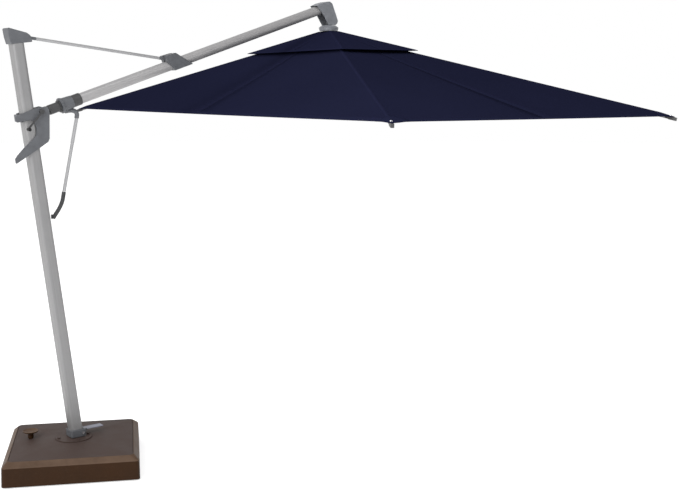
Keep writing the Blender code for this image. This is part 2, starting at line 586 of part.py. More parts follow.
# ---- Slider and crank ---------------------------------------------------------------------------
def make_slider():
    """Places are (forward of the mast's axis, up the mast from the body's height), in the slider's frame."""
    def local(points):
        return [(x - PIVOT_FORWARD, z - BODY_DROP) for x, z in points]

    front = [(0.022, 0.030), (0.093, 0.038), (0.110, 0.032), (0.117, 0.018), (0.116, -0.004), (0.094, -0.146),
             (0.083, -0.162)]
    # Only the right plate reaches back past the mast, with a finger above and a tail below.
    right = front + [(0.023, -0.192), (-0.055, -0.227), (-0.118, -0.256), (-0.1245, -0.252), (-0.1240, -0.228),
                     (-0.108, -0.211), (-0.061, -0.172), (-0.002, -0.135), (0.019, -0.112), (0.026, -0.075),
                     (0.017, -0.040), (0.002, -0.028), (-0.079, -0.0305), (-0.087, -0.023), (-0.088, -0.003),
                     (-0.078, 0.008)]
    left = front + [(0.030, -0.188), (0.006, -0.184), (0.003, -0.150), (0.010, -0.126), (0.017, -0.080),
                    (0.011, -0.046), (-0.006, -0.031), (-0.046, -0.037), (-0.046, 0.014)]
    for name, outline, low, high in (("slider_plate_left", left, 0.0385, 0.0455),
                                     ("slider_plate_right", right, -0.0455, -0.0385)):
        side = side_plate(name, local(outline), low, high, GREY, slider_frame, 0.0022)
        cut(side, disc(name + "_hole", 0.0090, -0.06, 0.06, GREY, slider_frame, turn=ALONG_Y, steps=18))
    block = local([(0.0412, 0.0300), (0.092, 0.0345), (0.107, 0.0280), (0.113, 0.0150), (0.112, -0.0040),
                   (0.090, -0.1440), (0.080, -0.1600), (0.0412, -0.1800)])
    housing = side_plate("slider_housing", block, -0.0380, 0.0380, GREY, slider_frame)
    cut(housing, box("arm_slot", (-0.0230, -0.0126, -0.0300), (0.0700, 0.0126, 0.0600), GREY, slider_frame))
    cut(housing, disc("pin_room", 0.0086, -0.06, 0.06, GREY, slider_frame, turn=ALONG_Y, steps=18))
    disc("slider_pin", 0.0080, -0.0450, 0.0450, STEEL, slider_frame, turn=ALONG_Y, steps=18)
    # The bars run across behind the mast: the upper one between the plates, the lower one out from the tail.
    bars = (("slider_back_upper", -0.060, -0.0465, -0.031, 0.010, 0.0455, 0.004),
            ("slider_back_lower", -0.056, -0.0430, -0.220, -0.186, -0.0080, 0.003))
    for name, rear, face, bottom, top, reach, bevel in bars:
        (low_x, low_z), (high_x, high_z) = local([(rear, bottom), (face, top)])
        box(name, (low_x, -0.0381, low_z), (high_x, reach, high_z), GREY, slider_frame, bevel)
    pads = (("guide_pad_upper", 0.0370, 0.0407, -0.020, 0.026),
            ("guide_pad_lower", 0.0370, 0.0407, -0.178, -0.130),
            ("guide_pad_back", -0.0460, -0.0370, -0.034, 0.011))
    for name, low, high, bottom, top in pads:
        (low_x, low_z), (high_x, high_z) = local([(low, bottom), (high, top)])
        box(name, (low_x, -0.024, low_z), (high_x, 0.024, high_z), NYLON, slider_frame, 0.0008)


CRANK_OFFSET = Vector((-0.0880, 0, -0.0980))  # crank knob from the crank's axis, in the upright frame


def make_crank():
    crank_frame = frame("crank_axis", SLIDER_PIVOT, UPRIGHT, slider_frame)
    away = math.atan2(-CRANK_OFFSET.z, CRANK_OFFSET.x)
    length = CRANK_OFFSET.length
    arm = box("crank_arm", (0.0, -0.0650, -0.0055), (length, -0.0590, 0.0055), DARK, crank_frame, 0.001,
              turn=(0, away, 0))
    join(arm, disc("crank_boss", 0.0140, 0.0462, 0.0655, DARK, crank_frame, turn=ALONG_Y, steps=20,
                   chamfer=0.002))
    join(arm, disc("crank_arm_end", 0.0085, 0.0590, 0.0650, DARK, crank_frame, tuple(CRANK_OFFSET), ALONG_Y,
                   steps=16))
    knob_frame = frame("crank_knob_axis", SLIDER_PIVOT + CRANK_OFFSET, UPRIGHT, crank_frame)
    turned(
        "crank_knob",
        [(0, 0.0920), (0.0080, 0.0920), (0.0100, 0.0890), (0.0090, 0.0760), (0.0070, 0.0670),
         (0.0070, 0.0656),
         (0, 0.0656)],
        NYLON, knob_frame, turn=ALONG_Y, steps=16,
    )


# ---- Ribs, struts and runner --------------------------------------------------------------------
def spoke_frame(name, turn, radius, height, drop, parent):
    """A frame on a spoke of the hub, its X outwards and down by the drop angle, its Y along the hinge."""
    rotation = Matrix.Rotation(turn, 3, "Z") @ Matrix.Rotation(drop, 3, "Y")
    outward = Vector((math.cos(turn), math.sin(turn), 0))
    return frame(name, Vector((HUB.x, HUB.y, height)) + outward * radius, rotation, parent)


def lugged_ring(name, height, mat, hole):
    """A disc with a pair of ears at each corner spoke, for the tongues of ribs or struts."""
    ring_frame = frame(name + "_axis", Vector((HUB.x, HUB.y, height)), UPRIGHT, head_frame)
    ring = disc(name, 0.0400, -0.0105, 0.0105, mat, ring_frame, steps=28)
    for spoke, turn in enumerate(RIB_TURNS, 1):
        for side in (-1, 1):
            low, high = sorted((side * (TONGUE / 2 + 0.0006), side * (TONGUE / 2 + 0.0050)))
            join(ring, box(f"{name}_ear_{spoke}{side}", (0.030, low, -0.0085), (0.0640, high, 0.0085), mat,
                           ring_frame,
                           turn=(0, 0, turn)))
    if hole:
        cut(ring, disc(name + "_hole", hole, -0.05, 0.05, mat, ring_frame, steps=20))
    return ring


def make_ribs():
    lugged_ring("hub_ring", RIB_PIVOT_Z, GREY, 0.0090)
    lugged_ring("runner", RUNNER_Z, GREY, 0.0090)
    bracket_x = STRUT_REACH
    tongue = TONGUE / 2
    for number, turn in enumerate(RIB_TURNS, 1):
        rib_frame = spoke_frame(f"rib_{number}_axis", turn, RIB_PIVOT_R, RIB_PIVOT_Z, RIB_ANGLE, head_frame)
        rib = box(f"rib_{number}", (0.0140, -RIB_WIDTH / 2, -RIB_HEIGHT / 2),
                  (RIB_LENGTH - 0.030, RIB_WIDTH / 2, RIB_HEIGHT / 2), SILVER, rib_frame)
        join(rib, box(f"rib_{number}_end", (RIB_LENGTH - 0.034, -0.0090, -0.0100),
                      (RIB_LENGTH + 0.012, 0.0090, 0.0085),
                      DARK, rib_frame))
        join(rib, box(f"rib_{number}_tongue", (-0.0060, -tongue, -0.0070), (0.030, tongue, 0.0070), SILVER,
                      rib_frame))
        for side in (-1, 1):
            low, high = sorted((side * (tongue + 0.0006), side * RIB_WIDTH / 2))
            join(rib, box(f"rib_{number}_ear{side}", (bracket_x - 0.010, low, -STRUT_BRACKET - 0.007),
                          (bracket_x + 0.010, high, 0), SILVER, rib_frame))
        # Strut: from the bracket under the rib back to the runner.
        pivot = WORLD[f"rib_{number}_axis"] @ Vector((STRUT_REACH, 0, -STRUT_BRACKET))
        rotation = Matrix.Rotation(turn, 3, "Z") @ Matrix.Rotation(math.pi - BRACKET_ANGLE, 3, "Y")
        strut_frame = frame(f"strut_{number}_axis", pivot, rotation, rib_frame)
        half = STRUT_SIDE / 2
        strut = box(f"strut_{number}", (0.0240, -half, -half), (LINK - 0.0240, half, half), SILVER,
                    strut_frame)
        join(strut, box(f"strut_{number}_tongue", (-0.0060, -tongue, -0.0055),
                        (LINK + 0.0060, tongue, 0.0055), SILVER,
                        strut_frame))


# ---- Canopy -------------------------------------------------------------------------------------
def kite(name, number, inner, outer, rise):
    """A sheet centred on one rib: from the middle of one side over the corner to the next side's middle."""
    turn = CORNER_TURNS[number - 1]
    sign_x = 1 if math.cos(turn) > 0 else -1
    sign_y = 1 if math.sin(turn) > 0 else -1
    slit = 0.0008
    shape = bmesh.new()
    rows = []
    for share in (inner, outer):
        x, y = sign_x * CANOPY_X / 2 * share, sign_y * CANOPY_Y / 2 * share
        height = APEX_Z + rise - (APEX_Z - CORNER_Z) * share
        row = ((x, sign_y * slit, height), (x, y, height), (sign_x * slit, y, height))
        rows.append([shape.verts.new(p) for p in row])
    for i in (0, 1):
        shape.faces.new((rows[0][i], rows[1][i], rows[1][i + 1], rows[0][i + 1]))
    bmesh.ops.recalc_face_normals(shape, faces=shape.faces)
    if sum(face.normal.z for face in shape.faces) < 0:
        bmesh.ops.reverse_faces(shape, faces=shape.faces)
    hub_place = Matrix.Translation((HUB.x, HUB.y, 0)) @ Matrix.Rotation(CANOPY_TURN, 4, "Z")
    shape.transform(WORLD[f"rib_{number}_axis"].inverted() @ hub_place)
    mesh = bpy.data.meshes.new(name)
    shape.to_mesh(mesh)
    shape.free()
    sheet = place(name, mesh, NAVY, bpy.data.objects[f"rib_{number}_axis"])
    thick = sheet.modifiers.new("thickness", "SOLIDIFY")
    thick.thickness = CLOTH
    thick.offset = -1
    return sheet


def make_canopy():
    """Each panel holds its share of the main tier and of the vent tier, tied by a tab over the rib."""
    tab_x = 0.25 * CORNER_R - RIB_PIVOT_R
    for number in range(1, 5):
        panel = kite(f"canopy_panel_{number}", number, MAIN_INNER, 1.0, 0.0)
        tab = box(f"vent_tab_{number}", (tab_x, -0.003, RIB_DROP - 0.0010),
                  (tab_x + 0.016, 0.003, RIB_DROP + VENT_RISE * math.cos(RIB_ANGLE) - 0.0013), NAVY,
                  panel.parent)
        join(panel, tab)
        join(panel, kite(f"canopy_vent_{number}", number, VENT_INNER, VENT_OUTER, VENT_RISE))


def shade_smooth():
    for obj in PARTS.objects:
        if obj.type == "MESH":
            obj.data.shade_smooth()
            obj.data.set_sharp_from_angle(angle=math.radians(35))


make_base()
make_mast()
make_stay()
make_carrier()
make_arm()
make_head()
make_slider()
make_crank()
make_ribs()
make_canopy()
shade_smooth()
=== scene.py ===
"""Looks of the cantilever patio umbrella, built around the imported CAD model.

The canopy's cloth is made here: two tiers on four ribs, with hems, seams and corner patches, and a ring under
the top cap. Every CAD node that stays gets a procedural material. All lengths are in metres, in the CAD
model's frame: +Z up, +X along the arm.
"""

import json
import math

import bmesh
import bpy
from mathutils import Euler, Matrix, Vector


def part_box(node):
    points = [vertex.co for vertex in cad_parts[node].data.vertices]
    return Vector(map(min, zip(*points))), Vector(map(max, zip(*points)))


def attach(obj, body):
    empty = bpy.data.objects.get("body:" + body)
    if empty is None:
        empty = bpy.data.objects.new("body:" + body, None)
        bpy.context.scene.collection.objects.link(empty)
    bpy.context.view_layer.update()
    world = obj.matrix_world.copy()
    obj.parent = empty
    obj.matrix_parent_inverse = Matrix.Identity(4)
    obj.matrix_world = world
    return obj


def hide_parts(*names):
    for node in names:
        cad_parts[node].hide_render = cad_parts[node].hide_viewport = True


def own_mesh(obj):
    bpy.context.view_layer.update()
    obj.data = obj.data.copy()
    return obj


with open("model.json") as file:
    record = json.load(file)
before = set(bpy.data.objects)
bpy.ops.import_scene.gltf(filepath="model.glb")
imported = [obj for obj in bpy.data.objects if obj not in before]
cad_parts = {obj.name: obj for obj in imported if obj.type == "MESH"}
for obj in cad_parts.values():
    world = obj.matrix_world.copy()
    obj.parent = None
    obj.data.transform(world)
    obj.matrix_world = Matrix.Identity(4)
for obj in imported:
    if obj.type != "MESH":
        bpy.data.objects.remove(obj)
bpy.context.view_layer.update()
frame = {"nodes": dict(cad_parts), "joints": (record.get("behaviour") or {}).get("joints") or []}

# ---- Places read from the frame -----------------------------------------------------------------
JOINTS = {joint["name"]: joint for joint in frame["joints"]}


def pivot(joint):
    return Vector(JOINTS[joint]["pos_m"])


def middle(node):
    low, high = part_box(node)
    return (Vector(low) + Vector(high)) / 2


def rib_turn(rib):
    """The way a rib points from the hub, seen from above."""
    place = pivot(f"rib_{rib}_fold")
    return math.atan2(place.y, place.x - HUB_X)


HUB_X = middle("top_cap").x
CANOPY_TURN = (rib_turn(1) + rib_turn(4)) / 2  # the canopy sits a little askew of the arm
CORNER_TURN = (rib_turn(1) - rib_turn(4)) / 2
panel_low, panel_high = map(Vector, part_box("canopy_panel_1"))
CORNER_R = (panel_high.x - HUB_X) / math.cos(rib_turn(1))
HALF_X, HALF_Y = CORNER_R * math.cos(CORNER_TURN), CORNER_R * math.sin(CORNER_TURN)
CLOTH = 0.0012  # thickness of the cloth
VENT_RISE = 0.022  # vent tier over the main tier
CAP_OVER_VENT = 0.013  # from the vent's peak to the middle of the top cap
APEX_Z = middle("top_cap").z - CAP_OVER_VENT - VENT_RISE
HEM_Z = panel_low.z + 0.0015
DROP = APEX_Z - HEM_Z
MAIN_INNER, VENT_INNER, VENT_OUTER = 0.22, 0.030, 0.29  # shares of the way from apex to hem

RIBS = (1, 2, 3, 4)
SIGNS = {rib: (math.copysign(1, math.cos(rib_turn(rib) - CANOPY_TURN)),
               math.copysign(1, math.sin(rib_turn(rib) - CANOPY_TURN))) for rib in RIBS}
MAST_DIR = (pivot("stay_swing") - pivot("slider_keep")).normalized()
ARM_DIR = Vector(JOINTS["arm_roll"]["axis"])
STAY_DIR = (pivot("carrier_fold") - pivot("stay_swing")).normalized()


# ---- Material helpers ---------------------------------------------------------------------------
def new_material(name, roughness=0.5, metallic=0.0, specular=0.5):
    made = bpy.data.materials.new(name)
    made.use_nodes = True
    shader = made.node_tree.nodes["Principled BSDF"]
    shader.inputs["Roughness"].default_value = roughness
    shader.inputs["Metallic"].default_value = metallic
    shader.inputs["Specular IOR Level"].default_value = specular
    return made, made.node_tree, shader


def add(tree, kind, inputs=None, **settings):
    """A shader node with its settings, and its inputs set or linked by name."""
    node = tree.nodes.new("ShaderNode" + kind)
    for name, value in settings.items():
        setattr(node, name, value)
    for name, value in (inputs or {}).items():
        if isinstance(value, bpy.types.NodeSocket):
            tree.links.new(value, node.inputs[name])
        else:
            node.inputs[name].default_value = value
    return node


def place_of(tree):
    return add(tree, "TexCoord").outputs["Object"]


def noise(tree, vector, size, detail=2.0, rough=0.5):
    """Noise whose spots measure about size metres."""
    made = add(tree, "TexNoise", {"Vector": vector, "Scale": 1 / size, "Detail": detail, "Roughness": rough})
    return made.outputs["Fac"]


def stretched(tree, direction, across, along):
    """Coordinates that run slowly along a direction and fast across it, in units of these lengths."""
    turn = direction.to_track_quat("Z", "Y").to_euler()
    inputs = {"Vector": place_of(tree), "Rotation": turn, "Scale": (across, across, along)}
    made = add(tree, "Mapping", inputs, vector_type="TEXTURE")
    return made.outputs["Vector"]


def ramp(tree, factor, low, high, start=0.3, end=0.7):
    """A colour that goes from low to high as the factor goes from start to end."""
    made = add(tree, "ValToRGB", {"Fac": factor})
    first, last = made.color_ramp.elements
    first.position, last.position = start, end
    first.color, last.color = (*low, 1), (*high, 1)
    return made.outputs["Color"]


def levels(tree, factor, low, high, start=0.3, end=0.7):
    inputs = {"Value": factor, "From Min": start, "From Max": end, "To Min": low, "To Max": high}
    made = add(tree, "MapRange", inputs)
    return made.outputs["Result"]


def mixed(tree, factor, first, second, blend="MIX"):
    made = add(tree, "MixRGB", {"Fac": factor, "Color1": first, "Color2": second}, blend_type=blend)
    return made.outputs["Color"]


def math_node(tree, operation, first, second=0.0):
    made = add(tree, "Math", operation=operation)
    for socket, value in zip(made.inputs, (first, second)):
        if isinstance(value, bpy.types.NodeSocket):
            tree.links.new(value, socket)
        else:
            socket.default_value = value
    return made.outputs["Value"]


def bump(tree, height, depth, strength=1.0):
    made = add(tree, "Bump", {"Height": height, "Distance": depth, "Strength": strength})
    return made.outputs["Normal"]


def scaled(colour, by):
    return tuple(part * by for part in colour)


def link(tree, output, shader, name):
    tree.links.new(output, shader.inputs[name])


# ---- Materials ----------------------------------------------------------------------------------
def brushed_silver(name, direction, colour=(0.262, 0.260, 0.264), metallic=0.45, roughness=0.42):
    """Satin anodised extrusion: fine drawn lines along it, faint smudges across it."""
    made, tree, shader = new_material(name, roughness, metallic, 0.5)
    lines = noise(tree, stretched(tree, direction, 0.0022, 0.60), 1.0, 3)
    smudge = noise(tree, place_of(tree), 0.11, 3)
    base = ramp(tree, lines, scaled(colour, 0.93), scaled(colour, 1.06))
    cloud = ramp(tree, smudge, (0.95, 0.95, 0.95), (1.03, 1.03, 1.02))
    link(tree, mixed(tree, 1.0, base, cloud, "MULTIPLY"), shader, "Base Color")
    link(tree, levels(tree, smudge, roughness - 0.06, roughness + 0.08), shader, "Roughness")
    link(tree, bump(tree, lines, 0.00004), shader, "Normal")
    return made


def rib_silver(name, direction):
    """Drawn silver with a moulded dark cap at the rib's outer end."""
    made = brushed_silver(name, direction)
    tree = made.node_tree
    shader = tree.nodes["Principled BSDF"]
    silver = shader.inputs["Base Color"].links[0].from_socket
    apart = add(tree, "VectorMath", operation="DISTANCE")
    tree.links.new(place_of(tree), apart.inputs[0])
    apart.inputs[1].default_value = (HUB_X, 0, HEM_Z)
    capped = math_node(tree, "GREATER_THAN", apart.outputs["Value"], CORNER_R - RIB_CAP)
    link(tree, mixed(tree, capped, silver, (*DARK, 1)), shader, "Base Color")
    link(tree, levels(tree, capped, 0.55, 0.0, 0, 1), shader, "Metallic")
    return made


def powder_coat(name, colour, roughness=0.45):
    """Cast and powder-coated: orange peel, a little dust and rubbed spots."""
    made, tree, shader = new_material(name, roughness, 0.0, 0.45)
    place = place_of(tree)
    peel = noise(tree, place, 0.0022, 2)
    patch = noise(tree, place, 0.035, 4)
    base = ramp(tree, patch, scaled(colour, 0.90), scaled(colour, 1.12))
    speck = ramp(tree, peel, (0.96, 0.96, 0.96), (1.05, 1.05, 1.05))
    link(tree, mixed(tree, 1.0, base, speck, "MULTIPLY"), shader, "Base Color")
    link(tree, levels(tree, patch, roughness - 0.06, roughness + 0.08), shader, "Roughness")
    link(tree, bump(tree, peel, 0.00012), shader, "Normal")
    return made


def moulded(name, colour, dust, roughness, dust_and_top_light_strength=0.55, rise=0.95):
    """Grained plastic. Dust and painted light from above pale what faces up, wholly where the normal's height
    passes rise.
    """
    made, tree, shader = new_material(name, roughness, 0.0, 0.12)
    place = place_of(tree)
    leather = noise(tree, place, 0.0011, 2)
    cloud = noise(tree, place, 0.14, 4, 0.6)
    scuff = noise(tree, stretched(tree, Vector((0.8, 0.6, 0)), 0.004, 0.10), 1.0, 3)
    upward = add(tree, "SeparateXYZ", {"Vector": add(tree, "NewGeometry").outputs["Normal"]}).outputs["Z"]
    # dust with painted light from above: faces that point up are mixed towards the paler colour
    facing = levels(tree, upward, 0.0, dust_and_top_light_strength, 0.15, rise)
    dust_and_top_light_mask = math_node(tree, "MULTIPLY", facing, levels(tree, cloud, 0.65, 1.15))
    base = ramp(tree, cloud, scaled(colour, 0.90), scaled(colour, 1.10))
    base = mixed(tree, dust_and_top_light_mask, base, (*dust, 1))
    worn = mixed(tree, levels(tree, scuff, 0.0, 0.16, 0.62, 0.80), base, (*scaled(dust, 1.7), 1))
    link(tree, worn, shader, "Base Color")
    link(tree, levels(tree, cloud, roughness - 0.05, roughness + 0.10), shader, "Roughness")
    link(tree, bump(tree, leather, 0.00018), shader, "Normal")
    return made


def plain_metal(name, colour, roughness=0.3):
    """Zinc-plated fasteners and pins, with turning marks."""
    made, tree, shader = new_material(name, roughness, 1.0)
    place = place_of(tree)
    patch = noise(tree, place, 0.006, 3)
    link(tree, ramp(tree, patch, scaled(colour, 0.82), scaled(colour, 1.1)), shader, "Base Color")
    link(tree, levels(tree, patch, roughness - 0.06, roughness + 0.12), shader, "Roughness")
    link(tree, bump(tree, noise(tree, place, 0.0008), 0.00003), shader, "Normal")
    return made


def stone(name):
    made, tree, shader = new_material(name, 0.9, 0.0, 0.2)
    place = place_of(tree)
    patch = noise(tree, place, 0.02, 6, 0.7)
    link(tree, ramp(tree, patch, (0.30, 0.29, 0.27), (0.50, 0.49, 0.46)), shader, "Base Color")
    link(tree, bump(tree, patch, 0.0012), shader, "Normal")
    return made


RIB_CAP = 0.055  # length of the cap on a rib's end
WEAVE = 0.0011  # from thread to thread
STITCH, STITCH_GAP = 0.0032, 0.0014


def woven(name, colour):
    """Matt acrylic canvas: plain weave with painted shade where the threads sink, uneven threads, faint
    fading.
    """
    made, tree, shader = new_material(name, 1.0, 0.0, 0.0)
    inputs = {"Vector": place_of(tree), "Rotation": (0, 0, -CANOPY_TURN)}
    place = add(tree, "Mapping", inputs).outputs["Vector"]
    bands = math.pi / 10 / WEAVE
    warp = add(tree, "TexWave", {"Vector": place, "Scale": bands}, bands_direction="X").outputs["Fac"]
    weft = add(tree, "TexWave", {"Vector": place, "Scale": bands}, bands_direction="Y").outputs["Fac"]
    over = math_node(tree, "MULTIPLY", warp, weft)
    slub = noise(tree, stretched(tree, Vector((0, 1, 0)), 0.0014, 0.09), 1.0, 3)
    fade = noise(tree, place, 0.9, 2)
    base = ramp(tree, fade, scaled(colour, 0.95), scaled(colour, 1.06))
    threads = ramp(tree, slub, (0.90, 0.90, 0.90), (1.10, 1.10, 1.09))
    base = mixed(tree, 1.0, base, threads, "MULTIPLY")
    # painted shade: darker where the weave sinks between threads
    weave_shade = ramp(tree, over, (0.86, 0.86, 0.86), (1.08, 1.08, 1.08), 0.0, 1.0)
    link(tree, mixed(tree, 1.0, base, weave_shade, "MULTIPLY"), shader, "Base Color")
    height = math_node(tree, "ADD", over, math_node(tree, "MULTIPLY", slub, 0.6))
    link(tree, bump(tree, height, 0.00022), shader, "Normal")
    return made


def stitched(name, colour, rows):
    """Woven tape with rows of stitches. U runs along the tape in metres, V across it from 0 to 1."""
    made, tree, shader = new_material(name, 1.0, 0.0, 0.0)
    route = add(tree, "SeparateXYZ", {"Vector": add(tree, "UVMap", uv_map="tape").outputs["UV"]})
    along, across = route.outputs["X"], route.outputs["Y"]
    step = math_node(tree, "FRACT", math_node(tree, "DIVIDE", along, STITCH + STITCH_GAP))
    on_step = math_node(tree, "LESS_THAN", step, STITCH / (STITCH + STITCH_GAP))
    threads = None
    for row in rows:
        near = math_node(tree, "COMPARE", across, row)
        near.node.inputs[2].default_value = 0.035
        threads = near if threads is None else math_node(tree, "MAXIMUM", threads, near)
    thread = math_node(tree, "MULTIPLY", on_step, threads)
    grain = noise(tree, place_of(tree), 0.0016, 3)
    base = ramp(tree, grain, scaled(colour, 0.86), scaled(colour, 1.10))
    link(tree, mixed(tree, thread, base, (*scaled(colour, 1.35), 1)), shader, "Base Color")
    height = math_node(tree, "ADD", grain, math_node(tree, "MULTIPLY", thread, 1.2))
    link(tree, bump(tree, height, 0.0003), shader, "Normal")
    return made


NAVY = (0.0128, 0.0142, 0.0360)
PAINTED_LIT_SILVER = (0.36, 0.36, 0.37)  # silver of the arm and stay, painted brighter than the mast's silver: painted light for light that doesn't reach them
GREY = (0.088, 0.092, 0.101)
DARK = (0.040, 0.040, 0.041)
BROWN = (0.029, 0.0118, 0.0035)
# the lid's grey-brown; its upward faces are paled further by dust and painted light from above
LID_GREY = (0.088, 0.061, 0.053)
# paler rim colour: dust and painted light from above on the base's upward bevel
RIM_DUST_AND_LIGHT = (0.170, 0.112, 0.078)
SLATE = (0.230, 0.235, 0.290)


# ---- CAD nodes ----------------------------------------------------------------------------------
def finish_node(node, material):
    obj = frame["nodes"][node]
    if not obj.material_slots:
        obj.data.materials.append(material)
    for slot in obj.material_slots:
        slot.material = material


def finish_nodes():
    casting = powder_coat("casting_grey", GREY)
    dark = powder_coat("dark_grey", DARK, 0.5)
    nylon = moulded("black_nylon", (0.020, 0.020, 0.021), (0.045, 0.044, 0.042), 0.45, dust_and_top_light_strength=0.25)
    steel = plain_metal("zinc_steel", (0.55, 0.55, 0.57))
    groups = {
        # the base's upward rim bevel is paled by dust and painted light from above
        moulded("base_plastic", BROWN, RIM_DUST_AND_LIGHT, 0.48, rise=0.6): ("base_shell", "base_knob"),
        moulded("lid_plastic", scaled(LID_GREY, 0.75), scaled(LID_GREY, 0.88), 0.58): ("base_lid", "swivel_ring"),
        moulded("grip_rubber", (0.052, 0.053, 0.055), (0.07, 0.07, 0.07), 0.55, dust_and_top_light_strength=0.2): ("lever_grip",),
        stone("concrete"): ("ballast_slab_left", "ballast_slab_right"),
        steel: ("spindle_tube", "foot_bolt", "stay_top_pin", "stay_low_pin", "neck_pin", "slider_pin"),
        casting: (
            "mast_foot", "mast_cap", "pedal_bracket", "stay_eye_top", "stay_eye_low", "stay_collar",
            "tilt_collar",
            "slider_plate_left", "slider_plate_right", "slider_housing", "slider_back_upper",
            "slider_back_lower", "hub_ring", "runner",
        ),
        # head and top cap: the casting grey painted about twice as light, painted light for the bounce the
        # dark canopy doesn't give
        powder_coat("head_grey_painted_lit", scaled(GREY, 2.15)): (
            "head_crown", "head_cheek_left", "head_cheek_right", "top_cap",
        ),
        powder_coat("pedal_slate", SLATE): ("swivel_pedal",),
        powder_coat("neck_grey", scaled(GREY, 0.7)): ("hub_neck",),
        dark: ("lower_tube", "arm_socket", "crank_arm"),
        nylon: ("base_tray", "roll_bush", "cord_pulley", "guide_pad_upper", "guide_pad_lower",
                "guide_pad_back", "crank_knob"),
        brushed_silver("mast_silver", MAST_DIR): ("mast_tube",),
        # stay and lever take the silver painted brighter than the mast's: painted light
        brushed_silver("stay_silver", STAY_DIR, PAINTED_LIT_SILVER): ("stay_tube",),
        # the arm's silver is painted paler than the mast's: painted light standing in for light on its
        # underside
        brushed_silver("arm_silver_painted_lit", ARM_DIR, (0.33, 0.325, 0.33), 0.22, 0.40): ("arm_tube",),
    }
    lever_low, lever_high = map(Vector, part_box("lever_tube"))
    along_lever = Vector((lever_high.x - lever_low.x, 0, lever_high.z - lever_low.z)).normalized()
    groups[brushed_silver("lever_silver", along_lever, PAINTED_LIT_SILVER)] = ("lever_tube",)
    for rib in RIBS:
        spoke = pivot(f"strut_{rib}_fold") - pivot(f"rib_{rib}_fold")
        groups[rib_silver(f"rib_silver_{rib}", spoke.normalized())] = (f"rib_{rib}",)
        inward = pivot("runner_keep") - pivot(f"strut_{rib}_fold")
        groups[brushed_silver(f"strut_silver_{rib}", inward.normalized())] = (f"strut_{rib}",)
    for material, nodes in groups.items():
        for node in nodes:
            finish_node(node, material)


# ---- Cloth --------------------------------------------------------------------------------------
SAG_LONG, SAG_SHORT = 0.016, 0.009  # how far the cloth sags midway between ribs
HEM_SAG = 0.15  # share of the sag left at the taut hem
TIP_DROOP = 0.006  # the corner is pulled down onto the rib's end
TIP_SPAN = 0.10  # from the corner, where that pull starts
HEM_WIDTH, VENT_HEM_WIDTH, SEAM_WIDTH = 0.026, 0.018, 0.020
KITE_ROWS, KITE_COLUMNS = 34, 22  # outwards, and from the rib to either side
HEM_STEPS, SEAM_STEPS = 26, 30
PATCH_REACH = 0.105


def cloth_height(x, y, outer, rise):
    """Height of the cloth's top face, x and y from the hub's axis. A tier ends at the share outer."""
    along_x, along_y = abs(x) / HALF_X, abs(y) / HALF_Y
    share = max(along_x, along_y)
    if share == 0:
        return APEX_Z + rise
    from_rib = 1 - min(along_x, along_y) / share
    depth = SAG_LONG if along_x > along_y else SAG_SHORT
    way = min(share / outer, 1.0)
    hang = outer * (3.2 * way * (1 - way) + HEM_SAG * way)
    sag = depth * math.sin(math.pi / 2 * min(from_rib, 1.0)) * hang
    to_corner = math.hypot(abs(x) - HALF_X, abs(y) - HALF_Y)
    near = max(0.0, 1 - to_corner / TIP_SPAN)
    return APEX_Z + rise - DROP * share - sag - TIP_DROOP * near * near * (3 - 2 * near)


def spread(count, power=1.0):
    """Steps from 0 to 1, closer together near 0 for a power over 1."""
    return [(i / count) ** power for i in range(count + 1)]


def cloth_point(rib, x, y, outer, rise, lift=0.0):
    """The place of a point of one rib's quarter, x and y from the hub along the canopy's own sides."""
    sign_x, sign_y = SIGNS[rib]
    height = cloth_height(x, y, outer, rise) + lift
    place = Vector((sign_x * x, sign_y * y, height))
    place.rotate(Euler((0, 0, CANOPY_TURN)))
    return place + Vector((HUB_X, 0, 0))


def from_hub(place):
    """A place's distances from the hub along the canopy's short and long sides."""
    local = place - Vector((HUB_X, 0, 0))
    local.rotate(Euler((0, 0, -CANOPY_TURN)))
    return abs(local.x), abs(local.y)


def mesh_object(name, points, faces, material, close=False):
    """A smooth object from points and faces. Open ends are filled if it is to be closed."""
    mesh = bpy.data.meshes.new(name)
    mesh.from_pydata([tuple(point) for point in points], [], faces)
    shape = bmesh.new()
    shape.from_mesh(mesh)
    bmesh.ops.remove_doubles(shape, verts=shape.verts, dist=1e-6)
    if close:
        bmesh.ops.holes_fill(shape, edges=[edge for edge in shape.edges if edge.is_boundary])
    bmesh.ops.recalc_face_normals(shape, faces=shape.faces)
    shape.to_mesh(mesh)
    shape.free()
    made = bpy.data.objects.new(name, mesh)
    bpy.context.scene.collection.objects.link(made)
    mesh.materials.append(material)
    mesh.shade_smooth()
    return made


def grid_faces(rows, columns):
    faces = []
    for row in range(rows - 1):
        for column in range(columns - 1):
            first = row * columns + column
            faces.append((first, first + 1, first + columns + 1, first + columns))
    return faces


def ring_faces(rings, size):
    """Faces between closed rings of points, one ring after the other."""
    faces = []
    for row in range(rings - 1):
        for i in range(size):
            j = (i + 1) % size
            faces.append((row * size + i, row * size + j, (row + 1) * size + j, (row + 1) * size + i))
    return faces


def cloth_sheet(name, points, rows, columns, material, thickness):
    """A grid of points on the cloth's top face, given its thickness downwards."""
    made = mesh_object(name, points, grid_faces(rows, columns), material)
    if sum(face.normal.z for face in made.data.polygons) < 0:
        made.data.flip_normals()
    thick = made.modifiers.new("thickness", "SOLIDIFY")
    thick.thickness = thickness
    thick.offset = -1
    return made


